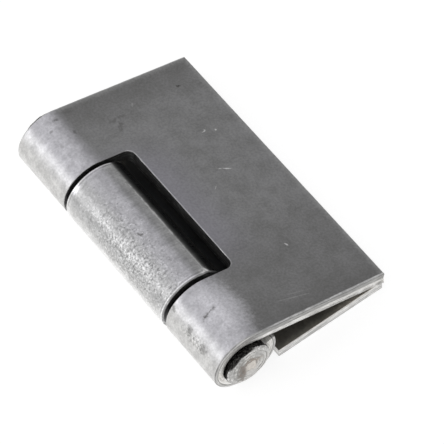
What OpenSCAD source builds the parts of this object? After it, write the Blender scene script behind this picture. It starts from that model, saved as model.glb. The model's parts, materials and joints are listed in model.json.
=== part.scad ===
// Weld-on butt hinge in bare steel, folded shut: two undrilled leaves rolled round one fixed pin.
// X runs from the pin towards the free edges, Y along the pin and Z up from the lower leaf's weld face.
// The origin is the middle of that weld face, halfway between the pin's axis and the free edge.

/* [Leaves] */
// Length of both leaves along the pin
leaf_length = 50; // [40:1:100]
// Distance from the pin's axis to the free edge of a leaf
leaf_width = 25; // [18:0.5:50]
// Thickness of the sheet that both leaves are cut from
sheet = 2; // [1.2:0.1:3]
// Width of the broken edge along the outside of a leaf
edge_break = 0.4; // [0.1:0.05:0.6]

/* [Knuckles] */
// Length of the single knuckle on the lower leaf
middle_knuckle = 24.8; // [14:0.1:34]
// Gap on each side of the middle knuckle, between it and an end knuckle
side_gap = 0.6; // [0.3:0.05:1.2]
// Clearance between a knuckle's outside and the leaf edge that faces it
swing_gap = 0.4; // [0.3:0.05:1.5]
// Radius in the inner corners of the cut-outs
cutout_corner = 1.3; // [0.5:0.1:2]
// Gap between a roll's free end and the underside of its leaf
roll_gap = 0.8; // [0.3:0.1:1.5]

/* [Pin] */
// Diameter of the pin's barrel
pin_d = 7; // [5:0.1:10]
// Radial clearance of the middle knuckle on the pin
run_gap = 0.05; // [0.02:0.01:0.1]
// How far the spread head at each end stands out past the barrel, all round
head_spread = 0.35; // [0.1:0.05:1.2]
// Bare barrel between an end knuckle and the head
head_stand = 0.45; // [0.2:0.05:1.5]
// Thickness of the head at its rim
head_rim = 0.6; // [0.4:0.05:1.2]
// Radius of the hammered edge round the head
head_round = 0.25; // [0.1:0.05:0.35]
// Rise of the crown on the head
head_crown = 0.25; // [0.1:0.05:0.8]

/* [Pose] */
// Gap left between the inner free edges when the hinge is folded shut
tip_gap = 0.06; // [0.04:0.02:1]

/* [Hidden] */
$fn = 96;

// Inner and outer radius of the knuckles that grip the pin, and of the one that turns on it
grip_in = pin_d / 2;
grip_out = grip_in + sheet;
turn_in = pin_d / 2 + run_gap;
turn_out = turn_in + sheet;

// Each leaf's cut-outs clear the knuckles of the other leaf
upper_cut_x = turn_out + swing_gap;
upper_cut_length = middle_knuckle + 2 * side_gap;
lower_cut_x = grip_out + swing_gap;
lower_cut_start = middle_knuckle / 2;

// Angle between the leaves at which their inner free edges are tip_gap apart
tip_reach = norm([leaf_width, turn_in]);
fold = atan(grip_in / leaf_width) + atan(turn_in / leaf_width) - 2 * asin(tip_gap / 2 / tip_reach);

// The pin's axis, seen from the middle of the weld face
axis_x = -leaf_width / 2;
axis_z = turn_out;

// Radius of the pin's head, and of the sphere that crowns it
head_r = pin_d / 2 + head_spread;
crown_foot = head_r - head_round;
crown_r = (crown_foot * crown_foot + head_crown * head_crown) / (2 * head_crown);

// Cutting tools run past the faces that they cut by this much
past = 1;

upper_steel = [0.44, 0.44, 0.45];
lower_steel = [0.58, 0.57, 0.55];
pin_steel = [0.74, 0.71, 0.67];

// Cross-section of the sheet: thickness along X from its inner face, length along Y, outer edges broken
module sheet_section() {
    half = leaf_length / 2;
    worn = sheet - edge_break;
    polygon([
        [0, -half], [worn, -half], [sheet, -half + edge_break],
        [sheet, half - edge_break], [worn, half], [0, half]
    ]);
}

// One leaf over its full length before its cut-outs are made, with the eye round the Y axis:
// the sheet runs flat from its free edge to the top of the eye, then round and back under itself
module rolled_sheet(eye_in) {
    roll_end = asin((eye_in - roll_gap) / (eye_in + sheet));
    translate([0, 0, eye_in]) rotate([180, -90, 0]) linear_extrude(leaf_width) sheet_section();
    rotate([90, -90, 0]) rotate_extrude(angle = 270 + roll_end) translate([eye_in, 0]) sheet_section();
}

// Broken edge along the outside of a leaf's free edge
module free_edge_break(eye_in) {
    reach = edge_break + past;
    translate([leaf_width, 0, eye_in + sheet]) rotate([90, 0, 0])
        linear_extrude(leaf_length + 2 * past, center = true)
            polygon([[past, past], [-reach, past], [past, -reach]]);
}

// Plan of a cut-out in the flat of a leaf up to the edge at cut_x, with round inner corners
module cutout_plan(start_x, cut_x, length) {
    square_x = cut_x - cutout_corner;
    translate([start_x, 0]) square([square_x - start_x, length]);
    translate([start_x, cutout_corner]) square([cut_x - start_x, length - 2 * cutout_corner]);
    for (y = [cutout_corner, length - cutout_corner]) translate([square_x, y]) circle(r = cutout_corner);
}

// A cut-out that starts at y and runs towards +Y: it takes the whole roll away, and the flat up to cut_x
module cutout(eye_in, cut_x, y, length) {
    start_x = -eye_in - sheet - past;
    translate([0, y, eye_in]) linear_extrude(sheet + past) cutout_plan(start_x, cut_x, length);
    translate([start_x, y, start_x]) cube([cut_x - start_x, length, eye_in - start_x]);
}

// Everything is drawn round the pin's axis and then put in the frame of the weld face
module on_axis() {
    translate([axis_x, 0, axis_z]) children();
}

// Upper leaf: an end knuckle at each end, gripping the pin, and a cut-out between them
module two_knuckle_leaf() {
    color(upper_steel) on_axis() rotate([0, fold, 0]) difference() {
        rolled_sheet(grip_in);
        cutout(grip_in, upper_cut_x, -upper_cut_length / 2, upper_cut_length);
        free_edge_break(grip_in);
    }
}

// Lower leaf: one knuckle in the middle, turning on the pin, and a cut-out at each end
module one_knuckle_leaf() {
    cut_length = leaf_length / 2 - lower_cut_start + cutout_corner + past;
    color(lower_steel) on_axis() mirror([0, 0, 1]) difference() {
        rolled_sheet(turn_in);
        for (end = [0, 1])
            mirror([0, end, 0]) cutout(turn_in, lower_cut_x, lower_cut_start, cut_length);
        free_edge_break(turn_in);
    }
}

// Half section of a spread head, from its underside up: a rim with a round edge under a low crown
module head_section() {
    top = head_rim + head_crown;
    square([head_r, head_rim - head_round]);
    square([crown_foot, head_rim]);
    translate([crown_foot, head_rim - head_round]) circle(r = head_round);
    intersection() {
        translate([0, top - crown_r]) circle(r = crown_r);
        translate([0, head_rim]) square([crown_foot, head_crown]);
    }
}

// Plain pin through all three knuckles, with both ends hammered out to a head
module hinge_pin() {
    barrel = leaf_length + 2 * head_stand;
    color(pin_steel) on_axis() rotate([90, 0, 0]) {
        cylinder(h = barrel, d = pin_d, center = true);
        for (end = [0, 1])
            mirror([0, 0, end]) translate([0, 0, barrel / 2]) rotate_extrude() head_section();
    }
}

two_knuckle_leaf();
one_knuckle_leaf();
hinge_pin();
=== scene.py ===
import json
import math

import bmesh
import bpy
from mathutils import Matrix, Vector


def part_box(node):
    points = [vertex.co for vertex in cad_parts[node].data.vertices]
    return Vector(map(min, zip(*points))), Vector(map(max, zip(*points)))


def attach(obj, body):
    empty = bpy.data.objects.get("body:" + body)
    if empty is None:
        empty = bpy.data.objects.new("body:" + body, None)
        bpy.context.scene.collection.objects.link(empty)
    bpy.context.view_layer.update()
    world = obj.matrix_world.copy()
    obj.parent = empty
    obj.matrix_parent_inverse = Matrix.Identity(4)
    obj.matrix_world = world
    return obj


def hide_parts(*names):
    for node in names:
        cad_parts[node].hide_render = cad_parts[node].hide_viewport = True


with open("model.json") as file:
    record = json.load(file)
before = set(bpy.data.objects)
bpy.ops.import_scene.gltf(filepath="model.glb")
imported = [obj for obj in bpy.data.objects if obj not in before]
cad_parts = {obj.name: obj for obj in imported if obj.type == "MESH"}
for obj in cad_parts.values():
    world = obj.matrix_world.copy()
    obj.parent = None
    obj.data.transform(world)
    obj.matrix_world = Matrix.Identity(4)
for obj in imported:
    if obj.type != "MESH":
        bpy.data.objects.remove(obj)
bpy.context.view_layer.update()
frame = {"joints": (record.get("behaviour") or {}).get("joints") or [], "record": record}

# Lower leaf
# One piece of 2 mm steel sheet, sheared to a T and rolled at the stem of the T into the middle knuckle.
# The roll is bare and scuffed by the rolling tool, and it turns on the pin. The flat is welded to a frame.

# Sizes in millimetres, from the frame where it has them
MM = 0.001
axis = Vector(frame["joints"][0]["pos_m"]) / MM
lower_low, lower_high = [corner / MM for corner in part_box("one_knuckle_leaf")]
leaf_length = lower_high.y - lower_low.y
leaf_width = lower_high.x - axis.x
turn_out = axis.z - lower_low.z
sheet = 2.0
middle_knuckle = 24.8
run_gap = 0.05
grip_out = turn_out - run_gap
swing_gap = 0.4
roll_gap = 0.8
cutout_corner = 1.3
burnished_depth = 1.05

# How far each kind of sheared edge is rolled over or broken. Round the roll an end edge narrows to a rim
outside_break = 0.42
rim_break = 0.2
rim_start = 2.0
rim_spread = 8.0
bore_break = 0.5
knuckle_break = 0.4
inside_break = 0.03

# Fineness of the mesh, the angles that tell an edge from a curve or a flat, how close counts as the same
# place, and the shares of the sheet's depth that count as its outer and inner face
roll_steps = 84
corner_steps = 8
break_steps = 6
sharp_angle = math.radians(50)
smooth_angle = math.radians(40)
flat_angle = math.radians(1)
same_place = 0.05
outer_depth = 0.1
inner_depth = 0.9


def pick(kind, test):
    """Selects the vertices, edges or faces of the mesh in edit mode whose middle passes the test."""
    bpy.ops.mesh.select_mode(type=kind)
    bpy.ops.mesh.select_all(action="DESELECT")
    mesh = bmesh.from_edit_mesh(bpy.context.edit_object.data)
    for item in {"VERT": mesh.verts, "EDGE": mesh.edges, "FACE": mesh.faces}[kind]:
        corners = [item] if kind == "VERT" else list(item.verts)
        middle = sum((corner.co for corner in corners), Vector()) / len(corners)
        item.select_set(test(middle))
    bmesh.update_edit_mesh(bpy.context.edit_object.data)


def cut_across(place, direction):
    """Cuts the whole mesh in edit mode along a plane, without taking anything away."""
    bpy.ops.mesh.select_all(action="SELECT")
    bpy.ops.mesh.bisect(plane_co=place, plane_no=direction)


def on_sheet(point, eye_out):
    """Where a point lies on the sheet: mm from the eye towards the free edge, mm along the pin, depth."""
    if point.x > 0 and point.z > eye_out - sheet - roll_gap / 2:
        return Vector((point.x, point.y, (eye_out - point.z) / sheet))
    turned = (math.atan2(point.z, point.x) - math.pi / 2) % (2 * math.pi)
    return Vector((-turned * eye_out, point.y, (eye_out - math.hypot(point.x, point.z)) / sheet))


def rolled_leaf(name, eye_out, cut_x, knuckles, inner_break):
    """A sheared blank with round inner corners, rolled to an eye round the Y axis, in millimetres."""
    half = leaf_length / 2
    bpy.ops.object.select_all(action="DESELECT")
    bpy.ops.mesh.primitive_plane_add(size=1, location=(leaf_width / 2, 0, eye_out))
    leaf = bpy.context.object
    leaf.name = name
    leaf.data.name = name
    leaf.scale = (leaf_width, leaf_length, 1)
    bpy.ops.object.transform_apply(location=True, scale=True)
    bpy.ops.object.mode_set(mode="EDIT")

    # The cut-outs between and beside the knuckles, with their inner corners rounded
    sides = [y for knuckle in knuckles for y in knuckle if abs(y) < half]
    cut_across((cut_x, 0, 0), (1, 0, 0))
    for y in sides:
        cut_across((0, y, 0), (0, 1, 0))
    pick("FACE", lambda p: p.x < cut_x and not any(start < p.y < end for start, end in knuckles))
    bpy.ops.mesh.delete(type="FACE")
    bpy.ops.mesh.select_all(action="SELECT")
    bpy.ops.mesh.dissolve_limited(angle_limit=flat_angle)
    pick("VERT", lambda p: abs(p.x - cut_x) < same_place and any(abs(p.y - y) < same_place for y in sides))
    bpy.ops.mesh.bevel(offset=cutout_corner, segments=corner_steps, affect="VERTICES")
    cut_across((cutout_corner, 0, 0), (1, 0, 0))
    for start, end in knuckles:
        rows = round(end - start)
        for row in range(1, rows):
            cut_across((0, start + (end - start) * row / rows, 0), (0, 1, 0))

    # The straps rolled round the pin's axis, and the whole given the sheet's thickness in two steps
    roll_end = math.asin((eye_out - sheet - roll_gap) / eye_out)
    pick("EDGE", lambda p: abs(p.x) < same_place)
    bpy.ops.mesh.spin(steps=roll_steps, angle=1.5 * math.pi + roll_end, center=(0, 0, 0), axis=(0, 1, 0))
    bpy.ops.mesh.select_mode(type="FACE")
    bpy.ops.mesh.select_all(action="SELECT")
    bpy.ops.mesh.remove_doubles(threshold=MM)
    bpy.ops.mesh.normals_make_consistent(inside=False)
    for step in (burnished_depth, sheet - burnished_depth):
        bpy.ops.mesh.extrude_region_shrink_fatten(
            TRANSFORM_OT_shrink_fatten={"value": -step, "use_even_offset": True})
    bpy.ops.mesh.select_all(action="SELECT")
    bpy.ops.mesh.normals_make_consistent(inside=False)
    bpy.ops.object.mode_set(mode="OBJECT")

    # The sheared edges: rolled over on the outside of the leaf, hardly broken in the cut-outs and inside
    mesh = bmesh.new()
    mesh.from_mesh(leaf.data)
    weight = mesh.edges.layers.float.new("bevel_weight_edge")
    for edge in mesh.edges:
        if edge.calc_face_angle(0) < sharp_angle:
            continue
        first, last = (corner.co for corner in edge.verts)
        run, along, depth = on_sheet((first + last) / 2, eye_out)
        lengthwise = abs(first.y - last.y) > same_place
        if depth > inner_depth and run < 0 and not lengthwise:
            width = bore_break
        elif depth > outer_depth:
            width = inside_break
        elif abs(along) > half - same_place:
            round_the_roll = min(max(-run - rim_start, 0) / rim_spread, 1)
            width = outside_break + (rim_break - outside_break) * round_the_roll
        elif run > leaf_width - same_place:
            width = outside_break
        else:
            width = inner_break
        edge[weight] = width / bore_break
    mesh.to_mesh(leaf.data)
    mesh.free()
    bevel = leaf.modifiers.new("sheared edges", "BEVEL")
    bevel.limit_method = "WEIGHT"
    bevel.width = bore_break
    bevel.segments = break_steps
    bevel.use_clamp_overlap = False
    bpy.ops.object.modifier_apply(modifier=bevel.name)

    # Each point remembers its place on the sheet, for the finish
    place = leaf.data.attributes.new("sheet", "FLOAT_VECTOR", "POINT")
    for index, vertex in enumerate(leaf.data.vertices):
        place.data[index].vector = on_sheet(vertex.co, eye_out)
    return leaf


def fit(piece, turn):
    """Turns a piece about the pin's axis and puts it in its place on the hinge, in metres."""
    piece.rotation_euler = turn
    piece.location = axis * MM
    piece.scale = (MM, MM, MM)
    bpy.ops.object.select_all(action="DESELECT")
    piece.select_set(True)
    bpy.context.view_layer.objects.active = piece
    bpy.ops.object.transform_apply(location=True, rotation=True, scale=True)
    bpy.ops.object.shade_smooth_by_angle(angle=smooth_angle)
    weighted = piece.modifiers.new("flat faces", "WEIGHTED_NORMAL")
    weighted.keep_sharp = True
    bpy.ops.object.modifier_apply(modifier=weighted.name)


def node(tree, kind, sockets, **options):
    """Adds a shader node, sets its options, and fills or links its sockets."""
    made = tree.nodes.new("ShaderNode" + kind)
    for option, value in options.items():
        setattr(made, option, value)
    for socket, value in sockets.items():
        if isinstance(value, bpy.types.NodeSocket):
            tree.links.new(value, made.inputs[socket])
        else:
            made.inputs[socket].default_value = value
    return made


def maths(tree, operation, first, second=0.0):
    """One sum on one value or on two."""
    return node(tree, "Math", {0: first, 1: second}, operation=operation).outputs[0]


def plus(tree, first, second):
    """Two values added."""
    return maths(tree, "ADD", first, second)


def minus(tree, first, second):
    """The second value taken from the first."""
    return maths(tree, "SUBTRACT", first, second)


def times(tree, first, *others):
    """Values multiplied."""
    for other in others:
        first = maths(tree, "MULTIPLY", first, other)
    return first


def fade(tree, value, start, end, low=0.0, high=1.0):
    """A soft step from low to high as value goes from start to end."""
    made = node(tree, "MapRange", {"Value": value, "From Min": start, "From Max": end, "To Min": low,
                                   "To Max": high}, interpolation_type="SMOOTHSTEP")
    return made.outputs["Result"]


def cloud(tree, place, scale, detail, rough, stretch=(1, 1, 1)):
    """Soft noise over a surface, in grains per mm, drawn out along the sheet where stretch is below 1."""
    drawn = node(tree, "Mapping", {"Vector": place, "Scale": stretch}).outputs["Vector"]
    made = node(tree, "TexNoise", {"Vector": drawn, "Scale": scale, "Detail": detail, "Roughness": rough})
    return made.outputs["Fac"]


def vary(tree, noise, low, high):
    """A value that wanders from low to high with a noise, most of which lies between 0.3 and 0.7."""
    return fade(tree, noise, 0.3, 0.7, low, high)


def blend(tree, amount, first, second):
    """One colour over another."""
    return node(tree, "Mix", {0: amount, 6: first, 7: second}, data_type="RGBA").outputs[2]


def shaded(tree, colour, factor):
    """A colour made darker or lighter by a factor or by another colour."""
    made = node(tree, "Mix", {0: 1.0, 6: colour, 7: factor}, data_type="RGBA", blend_type="MULTIPLY")
    return made.outputs[2]


def grey(level, warmth=0.0, violet=0.0):
    """A grey in linear light, leaning to yellow or to violet."""
    return (level * (1 + warmth + violet), level, level * (1 - 2 * warmth + 5 * violet), 1)


def tones(tree, value, stops):
    """Greys that follow a value. Each stop is the value and the grey there."""
    first, last = stops[0][0], stops[-1][0]
    share = node(tree, "MapRange", {"Value": value, "From Min": first, "From Max": last}).outputs["Result"]
    made = node(tree, "ValToRGB", {"Fac": share})
    ramp = made.color_ramp.elements
    ramp[0].color = grey(*stops[0][1:])
    ramp[1].color = grey(*stops[-1][1:])
    for at, *shade in stops[1:-1]:
        ramp.new((at - first) / (last - first)).color = grey(*shade)
    return made.outputs["Color"]


def reach(tree, place, mark):
    """How far a point is from the middle of an oval mark on the sheet, where 1 is the mark's border."""
    run, along, long, wide, turn = mark
    inside = node(tree, "Mapping", {"Vector": place, "Location": (run, along, 0), "Scale": (long, wide, 1),
                                    "Rotation": (0, 0, math.radians(turn))}, vector_type="TEXTURE")
    return node(tree, "VectorMath", {0: inside.outputs["Vector"]}, operation="LENGTH").outputs["Value"]


def spots(tree, place, ragged, marks):
    """Ragged oval marks on the sheet: place, half the length and width, turn, and how strong each is."""
    total = 0.0
    for *mark, strength in marks:
        spot = fade(tree, plus(tree, reach(tree, place, mark), ragged), 1.9, 0.5, 0, strength)
        total = maths(tree, "MAXIMUM", spot, total)
    return total


# Greys of the sheet on its flat, on its roll, in its marks and inside, and of its shine at a low angle
flat_dark = grey(0.295)
flat_light = grey(0.37, 0, 0.004)
flat_violet = grey(0.385, 0, 0.024)
flat_shade = grey(0.19, 0.01)
worn_and_lit_edge = grey(0.5)
# Grey of a painted highlight on the roll
painted_sheen = grey(0.77, 0, 0.012)
grime = grey(0.12, 0.02)
bright_steel = grey(0.95)
# Painted shade in the mouth of the bore, round the pin
bore_mouth_shade = grey(0.01)
inner_dark = grey(0.24, 0.05)
inner_light = grey(0.34, 0.05)
# Painted shade on the inner face by the eye
inner_shade = grey(0.13, -0.02)
full_shine = grey(1)
# Shine at a low angle, dimmed as painted shade where the roll turns under
shaded_shine = grey(0.3)
# How much lighter the roll is at a knuckle's end, by mm from that end
rim_tones = [(0, 1.8), (0.35, 1.6), (0.5, 0.9), (0.62, 0.85), (0.75, 1.15), (1.2, 1)]
grain_height = 0.015 * MM


def sheet_steel(name, roll_tones, bend, rough, lines, rims, slot, edges, ring, sheen, smudges, nicks):
    """Bare cold-rolled sheet: dull on the flat, burnished on the roll, sheared at its edges, with light and
    shade painted on the roll, its edges and inside.

    roll_tones follow the mm from the eye, edges and ring the depth in the sheared edge of flat and roll.
    bend is where the flat's grey ends, where the roll's is full, and how that border slants along the pin.
    rough and sheen are oval marks: place, half the length and width, and turn; sheen places a painted
    highlight.
    smudges and nicks are lists of marks with a strength. lines is where drawn lines begin on the roll and
    where they are full.
    rims is the middle of the knuckle and half its length, which place its bright ends.
    slot is half the slot's length, its reach from the eye, and the depth of its rim.
    """
    material = bpy.data.materials.new(name)
    material.use_nodes = True
    tree = material.node_tree
    shader = tree.nodes["Principled BSDF"]
    place = node(tree, "Attribute", {}, attribute_name="sheet").outputs["Vector"]
    run, along, depth = node(tree, "SeparateXYZ", {"Vector": place}).outputs
    aside = maths(tree, "ABSOLUTE", along)
    mottle = cloud(tree, place, 0.3, 8, 0.68)
    worn = cloud(tree, place, 0.55, 6, 0.66)
    fine = cloud(tree, place, 2.6, 3, 0.65)
    ragged = vary(tree, cloud(tree, place, 1.6, 4, 0.65), -0.6, 0.8)

    # The flat is dull and nearly even, a little violet by the cut-out and darker towards both ends
    face = blend(tree, vary(tree, mottle, 0, 1), flat_dark, flat_light)
    by_cutout = times(tree, fade(tree, run, 14, 5), fade(tree, aside, 16, 7), 0.8)
    face = blend(tree, by_cutout, face, flat_violet)
    by_end = maths(tree, "MAXIMUM", fade(tree, aside, 15, 25.5, 0, 0.6), fade(tree, along, -5, -13, 0, 0.3))
    face = blend(tree, by_end, face, flat_shade)

    # Its free edge and one end are paler, partly rubbed by handling and partly a painted highlight along
    # the edge
    from_border = maths(tree, "MINIMUM", minus(tree, leaf_width, run), minus(tree, leaf_length / 2, along))
    from_border = plus(tree, from_border, times(tree, ragged, 0.25))
    face = blend(tree, fade(tree, from_border, 1.4, 0.1, 0, 0.6), face, worn_and_lit_edge)

    # The roll is burnished and worn by the tool, roughened in one place and lined in another.
    # Its greys round the roll are also painted light and shade: paler where it faces the soft box and the
    # floor, near black on the slot side.
    roll = shaded(tree, tones(tree, run, roll_tones), vary(tree, worn, 0.84, 1.14))
    bend_start, bend_end, bend_slant = bend
    bent = fade(tree, plus(tree, run, times(tree, along, bend_slant)), bend_start, bend_end)
    colour = blend(tree, bent, face, roll)
    # One patch of the roll carries a painted highlight
    from_sheen = plus(tree, reach(tree, place, sheen), times(tree, ragged, 0.2))
    colour = blend(tree, fade(tree, from_sheen, 1.1, 0.1), colour, painted_sheen)
    coarse = fade(tree, plus(tree, reach(tree, place, rough), ragged), 1.5, 0.3, 0.1, 0.5)
    grain = plus(tree, times(tree, fade(tree, fine, 0.32, 0.68, -1, 1), coarse), 1)
    drawn = cloud(tree, place, 5.0, 2, 0.6, (0.08, 1, 1))
    lines_start, lines_full = lines
    lined = times(tree, fade(tree, run, lines_start, lines_full, 0.02, 0.08), bent)
    stroke = plus(tree, times(tree, fade(tree, drawn, 0.35, 0.65, -1, 1), lined), 1)
    relief = times(tree, grain, stroke)
    colour = shaded(tree, colour, relief)

    # The knuckle's ends are bright at the rim, with a darker line beside it
    knuckle_middle, knuckle_half = rims
    from_middle = maths(tree, "ABSOLUTE", minus(tree, along, knuckle_middle))
    rim_light = tones(tree, minus(tree, knuckle_half, from_middle), rim_tones)
    colour = blend(tree, bent, colour, shaded(tree, colour, rim_light))

    # Smudges of oil and scale, and bright nicks
    soiled = spots(tree, place, ragged, smudges)
    colour = blend(tree, soiled, colour, grime)
    colour = blend(tree, spots(tree, place, ragged, nicks), colour, bright_steel)

    # Sheared edges are rolled over first and torn bright below. The thin dark lines in their greys just
    # under the rolled-over rim are painted shade.
    shear = blend(tree, fade(tree, run, 2, -4), tones(tree, depth, edges), tones(tree, depth, ring))
    chips = cloud(tree, place, 1.6, 4, 0.7, (0.5, 0.5, 5))
    streaks = cloud(tree, place, 1.0, 3, 0.7, (0.2, 0.2, 6))
    torn = times(tree, vary(tree, chips, 0.7, 1.15), fade(tree, streaks, 0.32, 0.62, 0.75, 1.15))
    shear = shaded(tree, shear, torn)

    # In the slot they are painted darker as shade below a chipped rim, and the mouth of the bore is painted
    # black as shade round the pin
    slot_end, slot_reach, rim_depth = slot
    in_slot = times(tree, fade(tree, aside, slot_end + 0.3, slot_end + 0.1),
                    fade(tree, run, slot_reach + 0.3, slot_reach + 0.1))
    wall = tones(tree, depth, [(0, 0.4), (rim_depth, 0.34), (rim_depth + 0.06, 0.36), (0.3, 0.4), (1, 0.3)])
    wall = shaded(tree, wall, fade(tree, chips, 0.5, 0.68, 0.85, 1.8))
    shear = blend(tree, in_slot, shear, wall)
    mouth = times(tree, fade(tree, depth, 0.74, 0.78), fade(tree, run, 0, -2), fade(tree, run, -27, -25.5))
    shear = blend(tree, mouth, shear, bore_mouth_shade)
    edge = times(tree, fade(tree, depth, 0.005, 0.03), fade(tree, depth, 0.995, 0.97))
    colour = blend(tree, edge, colour, shear)

    # The inner face is warm and dark and paler by its borders; in a ragged patch by the eye and inside the
    # roll it is painted near-black as shade
    inside = blend(tree, fade(tree, worn, 0.32, 0.68), inner_dark, inner_light)
    inside = shaded(tree, inside, fade(tree, aside, 23.9, 25, 0.8, 1.5))
    inside = shaded(tree, inside, times(tree, grain, fade(tree, run, 13, 21, 1, 1.6)))
    inside_shade = times(tree, fade(tree, plus(tree, run, ragged), 11.5, 8),
                 fade(tree, plus(tree, aside, ragged), 18.5, 15))
    inside_shade = maths(tree, "MAXIMUM", inside_shade, fade(tree, run, 2, 0))
    inside = blend(tree, inside_shade, inside, inner_shade)
    inner = fade(tree, depth, 0.97, 0.995)
    colour = blend(tree, inner, colour, inside)
    tree.links.new(colour, shader.inputs["Base Color"])

    # Bare metal that is a little dirty inside and dull on its torn edges; where the roll turns under, its
    # shine at a low angle is dimmed as painted shade
    torn_edge = times(tree, edge, minus(tree, 1, in_slot))
    dirty = times(tree, inner, minus(tree, 0.15, times(tree, inside_shade, 0.1)))
    bare = minus(tree, 1, plus(tree, dirty, times(tree, torn_edge, 0.22)))
    tree.links.new(bare, shader.inputs["Metallic"])
    dull = plus(tree, vary(tree, mottle, 0.36, 0.44), times(tree, soiled, 0.15))
    dull = plus(tree, dull, times(tree, torn_edge, 0.2))
    dull = minus(tree, dull, times(tree, edge, in_slot, 0.05))
    tree.links.new(dull, shader.inputs["Roughness"])
    glance = blend(tree, fade(tree, run, -20.5, -21.2), full_shine, shaded_shine)
    tree.links.new(glance, shader.inputs["Specular Tint"])
    bump = node(tree, "Bump", {"Height": relief, "Distance": grain_height})
    tree.links.new(bump.outputs["Normal"], shader.inputs["Normal"])
    return material


# The knuckle's ends were dressed a little short, more at the near end
near_dressed = 0.15
far_dressed = 0.06
near_end = middle_knuckle / 2 - near_dressed
far_end = far_dressed - middle_knuckle / 2
lower_leaf = rolled_leaf(
    "lower_leaf_sheet", turn_out, grip_out + swing_gap, [(far_end, near_end)], knuckle_break)

# A burr on the slot side of the knuckle's near end
burr_turn = math.radians(-60.5)
burr_inset = 0.2
burr_core = 0.3
burr_spread = 0.7
burr_push = Vector((0.05, 0.1, -0.2))
burr = Vector((turn_out * math.cos(burr_turn), near_end - burr_inset, turn_out * math.sin(burr_turn)))
bpy.ops.object.mode_set(mode="EDIT")
pick("VERT", lambda p: (p - burr).length < burr_core)
bpy.ops.transform.translate(
    value=burr_push, use_proportional_edit=True, proportional_edit_falloff="SMOOTH",
    proportional_size=burr_spread)
bpy.ops.object.mode_set(mode="OBJECT")
fit(lower_leaf, (math.pi, 0, 0))

# Along the pin, places on this leaf run the other way, because it was turned over
lower_leaf.data.materials.append(sheet_steel(
    "scuffed_sheet_steel",
    # Greys round the roll: painted light low on the side facing the floor and soft box, and near-black
    # painted shade on the slot side
    roll_tones=[
        (0, 0.6, 0.008), (-6, 0.8, 0.004), (-8.3, 0.84, 0.004), (-9.3, 0.68, 0.004), (-10.3, 0.53, 0.004),
        (-11.2, 0.51), (-12, 0.43), (-15, 0.42, 0, 0.004), (-16, 0.45, 0, 0.01), (-18, 0.5, 0, 0.012),
        (-19, 0.42, 0, 0.004), (-19.9, 0.56), (-20.3, 0.52), (-20.65, 0.14), (-20.95, 0.085),
        (-21.6, 0.04), (-22.2, 0.05), (-22.85, 0.09), (-29, 0.2)],
    bend=(0.5, -2, 0), rough=(-13, 3, 3.6, 10.5, 0), lines=(-16.5, -19),
    rims=((near_end + far_end) / 2, (near_end - far_end) / 2), slot=(middle_knuckle / 2, 4.5, 0.1),
    edges=[(0, 0.75), (0.2, 0.7, 0.01), (0.5, 0.7, 0.01), (0.6, 0.85, 0.01), (1, 0.8, 0.01)],
    ring=[(0, 0.75), (0.3, 0.65, 0.01), (0.4, 0.85, 0.01), (1, 0.8, 0.01)],
    sheen=(-13.4, -11.7, 1.3, 0.6, 0),
    smudges=[(-16.1, 1.2, 0.2, 0.45, 30, 0.65), (-13.3, 1.7, 0.2, 0.4, 0, 0.3)],
    nicks=[(-20.3, -0.2, 0.15, 4.5, 0, 0.6), (-20.3, 8, 0.12, 4, 0, 0.4), (-20.4, 11.8, 0.5, 0.45, 0, 1)]))
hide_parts("one_knuckle_leaf")
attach(lower_leaf, "lower_leaf")

# Upper leaf
# The same sheet, sheared to a U and rolled to an eye at both ends of one long side. The two end knuckles
# grip the pin. Its outer face is the plain undrilled face that shows.

side_gap = 0.6
slot_half = middle_knuckle / 2 + side_gap
slot_reach = turn_out + swing_gap
upper_face = next(m for m in frame["record"]["mounts"] if m["name"] == "upper_weld_face")
fold = math.atan2(upper_face["axis"][0], upper_face["axis"][2])

# The slot between the knuckles came out a little tight on its long side and at its far end
tight_side = 0.15
tight_end = 0.1
cutout_break = 0.16
upper_leaf = rolled_leaf(
    "upper_leaf_sheet", grip_out, slot_reach - tight_side,
    [(-leaf_length / 2, -slot_half), (slot_half - tight_end, leaf_length / 2)], cutout_break)

# The inner border of its two end edges leans out, more towards the free edge
lean = 0.38
inner_border = grip_out - inner_depth * sheet
bpy.ops.object.mode_set(mode="EDIT")
for end in (-leaf_length / 2, leaf_length / 2):
    pick("VERT", lambda p: abs(p.y - end) < same_place and p.z < inner_border and p.x > 0)
    bpy.ops.transform.rotate(
        value=math.copysign(lean / leaf_width, -end), orient_axis="Z", center_override=(0, end, 0))
bpy.ops.object.mode_set(mode="OBJECT")
fit(upper_leaf, (0, fold, 0))

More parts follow.
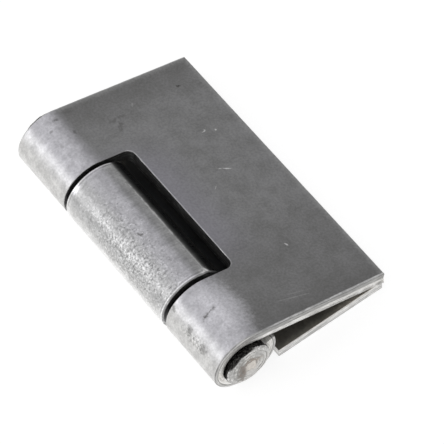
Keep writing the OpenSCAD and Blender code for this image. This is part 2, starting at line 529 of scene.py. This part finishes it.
upper_leaf.data.materials.append(sheet_steel(
    "plain_sheet_steel",
    roll_tones=[
        # Greys round the roll, paler low down as a painted reflection of the floor
        (4, 0.5, 0, 0.012), (-4, 0.5, 0, 0.012), (-5.8, 0.5, 0, 0.004), (-7.7, 0.59, 0.008),
        (-9.6, 0.63, 0.008), (-11, 0.72, 0.008), (-29, 0.7, 0.008)],
    bend=(1.6, -0.9, 0.02), rough=(-7.2, -19.4, 0.9, 2.4, 0), lines=(-30, -40),
    rims=(0, leaf_length), slot=(slot_half, slot_reach, 0.045),
    edges=[
        (0, 0.65), (0.08, 0.6), (0.13, 0.27, 0.01), (0.19, 0.47, 0.01), (0.46, 0.45, 0.01),
        (0.52, 0.55, 0.01), (0.62, 0.9, 0.012), (1, 0.98, 0.012)],
    ring=[
        (0, 0.45), (0.04, 0.38, 0.01), (0.1, 0.75, 0.01), (0.22, 0.7, 0.01), (0.27, 0.36, 0.01),
        (0.34, 0.95, 0.02), (1, 1, 0.02)],
    sheen=(0.1, -18.4, 3.4, 7.4, 0),
    smudges=[
        (-3.5, -18.3, 0.5, 0.22, 15, 0.85), (-6.8, -17.8, 0.6, 0.5, 0, 0.6),
        (-7.3, -21.4, 0.6, 0.5, 0, 0.5), (-1.8, -17.9, 0.35, 0.22, 15, 0.65),
        (-2.7, -18.1, 0.6, 0.06, 15, 0.65), (-6.4, -13.5, 0.4, 0.3, 0, 0.6),
        (-2.6, 21.6, 0.25, 0.2, 0, 0.5), (-0.9, 23.0, 0.35, 0.25, 0, 0.6),
        (-2.8, 18.5, 0.25, 0.3, 0, 0.3), (0.2, 19.6, 0.3, 0.25, 0, 0.5),
        (20.2, 20.1, 0.25, 0.22, 0, 1), (6.6, 18.7, 0.6, 0.25, 15, 0.4),
        (7.3, 17.4, 0.9, 0.35, 60, 0.45), (8.4, 18.9, 0.5, 0.25, -10, 0.3),
        (1.6, 23.6, 0.6, 0.35, 10, 0.3)],
    nicks=[
        (18.0, 10.6, 0.28, 0.09, 10, 0.8), (18.2, 10.8, 0.09, 0.2, 0, 0.7),
        (19.8, 10.0, 0.12, 0.12, 0, 0.8), (16.3, 2.9, 0.75, 0.07, -28, 0.9),
        (11.4, 20.2, 0.08, 0.3, -35, 0.2), (15.2, -13.5, 0.1, 0.25, 20, 0.8),
        (12.7, 0.6, 0.25, 0.05, 40, 0.6), (10.1, -22.2, 2.2, 0.09, -11, 0.15),
        (10.8, -21.6, 1.6, 0.08, -11, 0.1)]))
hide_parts("two_knuckle_leaf")
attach(upper_leaf, "upper_leaf")

# Pin
# A plain steel rod driven through all three knuckles. Both ends are hammered out to a low head with
# ring marks, and the bare neck between the head and the knuckle is painted black as shade.

pin_r = grip_out - sheet
pin_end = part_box("hinge_pin")[1].y / MM
head_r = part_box("hinge_pin")[1].x / MM - axis.x
# Half section of one head, from the middle of its face outwards and back to the neck: radius, drop
head_outline = [
    (0.0, 0.1), (0.9, 0.08), (1.35, 0.0), (1.7, 0.02), (1.95, 0.1), (2.3, 0.08), (2.65, 0.06), (2.9, 0.16),
    (3.2, 0.13), (3.5, 0.17), (3.7, 0.27), (3.82, 0.42), (head_r, 0.58), (3.8, 0.74), (3.65, 0.84)]
neck = 0.95
head_height = 0.9
off_centre = Vector((-0.15, 0, 0.08))
pin_steps = 128
struck_depth = 0.5
blow_size = 0.9
blow_depth = 0.16

bpy.ops.object.select_all(action="DESELECT")
bpy.ops.mesh.primitive_plane_add(size=1)
pin = bpy.context.object
pin.name = "pin_rod"
pin.data.name = "pin_rod"
bpy.ops.object.mode_set(mode="EDIT")
bpy.ops.mesh.merge(type="CENTER")
bpy.ops.mesh.select_mode(type="VERT")
bpy.ops.mesh.select_all(action="SELECT")
half_section = head_outline + [(pin_r, neck), (pin_r, pin_end)]
outline = [Vector((out, pin_end - drop, 0)) for out, drop in half_section]
bpy.ops.transform.translate(value=outline[0])
for before, after in zip(outline, outline[1:]):
    bpy.ops.mesh.extrude_region_move(TRANSFORM_OT_translate={"value": after - before})
bpy.ops.mesh.select_all(action="SELECT")
bpy.ops.mesh.spin(steps=pin_steps, angle=2 * math.pi, center=(0, 0, 0), axis=(0, 1, 0))
bpy.ops.mesh.select_all(action="SELECT")
bpy.ops.mesh.remove_doubles(threshold=MM)
bpy.ops.object.mode_set(mode="OBJECT")

# The face of the head is dented, the half pin mirrored, and the near head pushed off centre
head = pin.vertex_groups.new(name="head")
head.add([v.index for v in pin.data.vertices if abs(v.co.y) > pin_end - struck_depth], 1, "REPLACE")
blows = bpy.data.textures.new("blows", "CLOUDS")
blows.noise_scale = blow_size
dented = pin.modifiers.new("hammer blows", "DISPLACE")
dented.texture = blows
dented.texture_coords = "LOCAL"
dented.vertex_group = "head"
dented.strength = blow_depth
bpy.ops.object.modifier_apply(modifier=dented.name)
mirror = pin.modifiers.new("other end", "MIRROR")
mirror.use_axis = (False, True, False)
mirror.merge_threshold = MM
bpy.ops.object.modifier_apply(modifier=mirror.name)
bpy.ops.object.mode_set(mode="EDIT")
pick("VERT", lambda p: p.y < head_height - pin_end)
bpy.ops.transform.translate(value=off_centre)
bpy.ops.mesh.select_all(action="SELECT")
bpy.ops.mesh.normals_make_consistent(inside=False)
bpy.ops.object.mode_set(mode="OBJECT")
fit(pin, (0, 0, 0))

struck_dark = grey(0.4, 0.012)
struck_light = grey(0.68, 0.012)
struck_low = grey(0.68, 0.015)
warm_middle = (0.68, 0.635, 0.585, 1)
rust_stain = (0.27, 0.22, 0.18, 1)
rust_smear = (0.21, 0.175, 0.15, 1)
smear_mark = (-1.5, -0.5, 0.6, 1.9, 0)
left_dirt = grey(0.26, 0.02)
ring_dirt = grey(0.24, 0.03)
flank_steel = grey(0.45)
# Painted shade on the neck and on one side of the head
pin_shade_black = grey(0.006)
pin_shade_grey = grey(0.08, 0.03)
# The side of the head where its shade is painted
shaded_side = (-0.39, 0, 0.92)
dent_height = 0.03 * MM

hammered = bpy.data.materials.new("hammered_pin_steel")
hammered.use_nodes = True
tree = hammered.node_tree
shader = tree.nodes["Principled BSDF"]
coords = node(tree, "TexCoord", {}).outputs["Object"]
centred = node(tree, "VectorMath", {0: coords, 1: axis * MM}, operation="SUBTRACT").outputs[0]
in_mm = node(tree, "VectorMath", {0: centred, "Scale": 1 / MM}, operation="SCALE").outputs[0]
across, along, up = node(tree, "SeparateXYZ", {"Vector": in_mm}).outputs
disc = node(tree, "CombineXYZ", {"X": across, "Y": up}).outputs[0]
radius = node(tree, "VectorMath", {0: disc}, operation="LENGTH").outputs["Value"]
bearing = node(tree, "VectorMath", {0: in_mm, 1: shaded_side}, operation="DOT_PRODUCT").outputs["Value"]
dents = cloud(tree, in_mm, 1.1, 4, 0.6)
pits = cloud(tree, in_mm, 3.5, 3, 0.6)
patches = cloud(tree, in_mm, 0.55, 5, 0.65)

# The struck face is patchy, warm in the middle with a rusty stain round it, and dirty on the left
spread = plus(tree, radius, vary(tree, dents, -0.7, 0.7))
colour = blend(tree, fade(tree, patches, 0.35, 0.65), struck_dark, struck_light)
colour = blend(tree, fade(tree, bearing, -0.3, -1.6, 0, 0.7), colour, struck_low)
colour = blend(tree, fade(tree, spread, 2.0, 0.7, 0, 0.85), colour, warm_middle)
stain = times(tree, fade(tree, spread, 0.7, 1.3), fade(tree, spread, 2.4, 1.5),
              fade(tree, bearing, -0.9, 0.5), 0.85)
colour = blend(tree, stain, colour, rust_stain)
dirty = times(tree, fade(tree, across, -0.5, -1.5, 0, 0.65), fade(tree, spread, 3.3, 2.5))
colour = blend(tree, dirty, colour, left_dirt)
smear = plus(tree, reach(tree, disc, smear_mark), vary(tree, dents, -0.4, 0.4))
colour = blend(tree, fade(tree, smear, 1.6, 0.5, 0, 0.75), colour, rust_smear)

# Ring marks left by the hammer, and bright flecks by the border
wave = maths(tree, "SINE", plus(tree, times(tree, radius, 10), times(tree, dents, 6)))
ring = times(tree, fade(tree, wave, 0.2, 0.8), fade(tree, patches, 0.4, 0.6, 0.1, 0.85))
colour = blend(tree, ring, colour, ring_dirt)
colour = shaded(tree, colour, vary(tree, pits, 0.92, 1.06))
fleck = times(tree, fade(tree, pits, 0.5, 0.62), fade(tree, radius, 2.7, 3.2),
              fade(tree, bearing, -1.5, 1.5, 0.2, 1), 0.5)
colour = blend(tree, fleck, colour, bright_steel)

# The side of the head is smooth grey, and painted black as shade on its upper-left side, at its brim there
# and on the neck
outside = plus(tree, maths(tree, "ABSOLUTE", along), vary(tree, pits, -0.05, 0.05))
flank = fade(tree, outside, pin_end - 0.34, pin_end - 0.46)
bare = maths(tree, "MAXIMUM", times(tree, flank, fade(tree, bearing, -0.5, 1.2)),
             fade(tree, outside, pin_end - 0.7, pin_end - 0.85))
brim = plus(tree, radius, vary(tree, pits, -0.2, 0.2))
brim = times(tree, fade(tree, brim, 3.35, 3.6), fade(tree, bearing, 2.7, 3.3))
bare = maths(tree, "MAXIMUM", bare, brim)
colour = blend(tree, flank, colour, flank_steel)
scale = blend(tree, fade(tree, pits, 0.45, 0.65), pin_shade_black, pin_shade_grey)
colour = blend(tree, bare, colour, scale)
tree.links.new(colour, shader.inputs["Base Color"])
shader.inputs["Metallic"].default_value = 1
dull = maths(tree, "MAXIMUM", vary(tree, dents, 0.35, 0.55), times(tree, bare, 0.6))
tree.links.new(dull, shader.inputs["Roughness"])
bump = node(tree, "Bump", {"Height": plus(tree, dents, pits), "Distance": dent_height})
tree.links.new(bump.outputs["Normal"], shader.inputs["Normal"])
pin.data.materials.append(hammered)
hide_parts("hinge_pin")
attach(pin, "upper_leaf")

# Floor
# A plain white table top, which shows white to the eye and in the steel and keeps a soft shadow.
# The steel sees it bright close by and dim further off. Sizes are in metres.

floor_size = 6
near_floor = 0.05
far_floor = 0.4
far_glow = 0.1
floor_glow = 0.8
floor_grey = grey(0.3)
bpy.ops.object.select_all(action="DESELECT")
bpy.ops.mesh.primitive_plane_add(size=floor_size)
floor = bpy.context.object
floor.name = "floor"
white = bpy.data.materials.new("white_floor")
white.use_nodes = True
tree = white.node_tree
tree.nodes.clear()
path = node(tree, "LightPath", {}).outputs
ground = node(tree, "TexCoord", {}).outputs["Object"]
distance = node(tree, "VectorMath", {0: ground}, operation="LENGTH").outputs["Value"]
mirrored = times(tree, path["Is Glossy Ray"], fade(tree, distance, near_floor, far_floor, 1, far_glow))
seen = plus(tree, plus(tree, path["Is Camera Ray"], path["Is Transmission Ray"]), mirrored)
glow = node(tree, "Emission", {"Strength": times(tree, seen, floor_glow)})
matt = node(tree, "BsdfDiffuse", {"Color": floor_grey})
both = node(tree, "AddShader", {0: glow.outputs[0], 1: matt.outputs[0]})
node(tree, "OutputMaterial", {"Surface": both.outputs[0]})
floor.data.materials.append(white)

# Light
# A pale room that is dim on the right, and one low soft box on the left.
# The room's greys run from the middle to the right. The box is in metres and watts.

room_tones = [(0.05, 0.92), (0.46, 0.64), (0.7, 0.43), (0.83, 0.35), (0.97, 0.08)]
box_side = Vector((-0.83, 0.45, 0.34)).normalized()
box_distance = 0.6
box_long = 0.5
box_wide = 0.2
box_power = 0.5

world = bpy.data.worlds.new("studio")
bpy.context.scene.world = world
world.use_nodes = True
tree = world.node_tree
direction = node(tree, "TexCoord", {}).outputs["Generated"]
rightwards = node(tree, "SeparateXYZ", {"Vector": direction}).outputs["X"]
tree.links.new(tones(tree, rightwards, room_tones), tree.nodes["Background"].inputs["Color"])

bpy.ops.object.light_add(type="AREA")
box = bpy.context.object
box.name = "soft_box"
box.location = box_side * box_distance
box.rotation_euler = box_side.to_track_quat("Z", "Y").to_euler()
box.data.shape = "RECTANGLE"
box.data.size = box_long
box.data.size_y = box_wide
box.data.energy = box_power

# Camera
# Above and to the left of the near end, with a long lens.
# Its place is in metres, its lens and sensor in millimetres.

camera_place = (-0.133168, -0.207016, 0.381474)
azimuth, elevation, spin = math.radians(-33.036), math.radians(57.207), math.radians(-4.158)
bpy.ops.object.camera_add(location=camera_place)
camera = bpy.context.object
camera.data.lens = 244.698
camera.data.sensor_width = 36
turn = (Matrix.Rotation(azimuth, 3, "Z") @ Matrix.Rotation(math.pi / 2 - elevation, 3, "X")
        @ Matrix.Rotation(spin, 3, "Z"))
camera.rotation_euler = turn.to_euler()
bpy.context.scene.camera = camera
bpy.context.scene.view_settings.view_transform = "Standard"
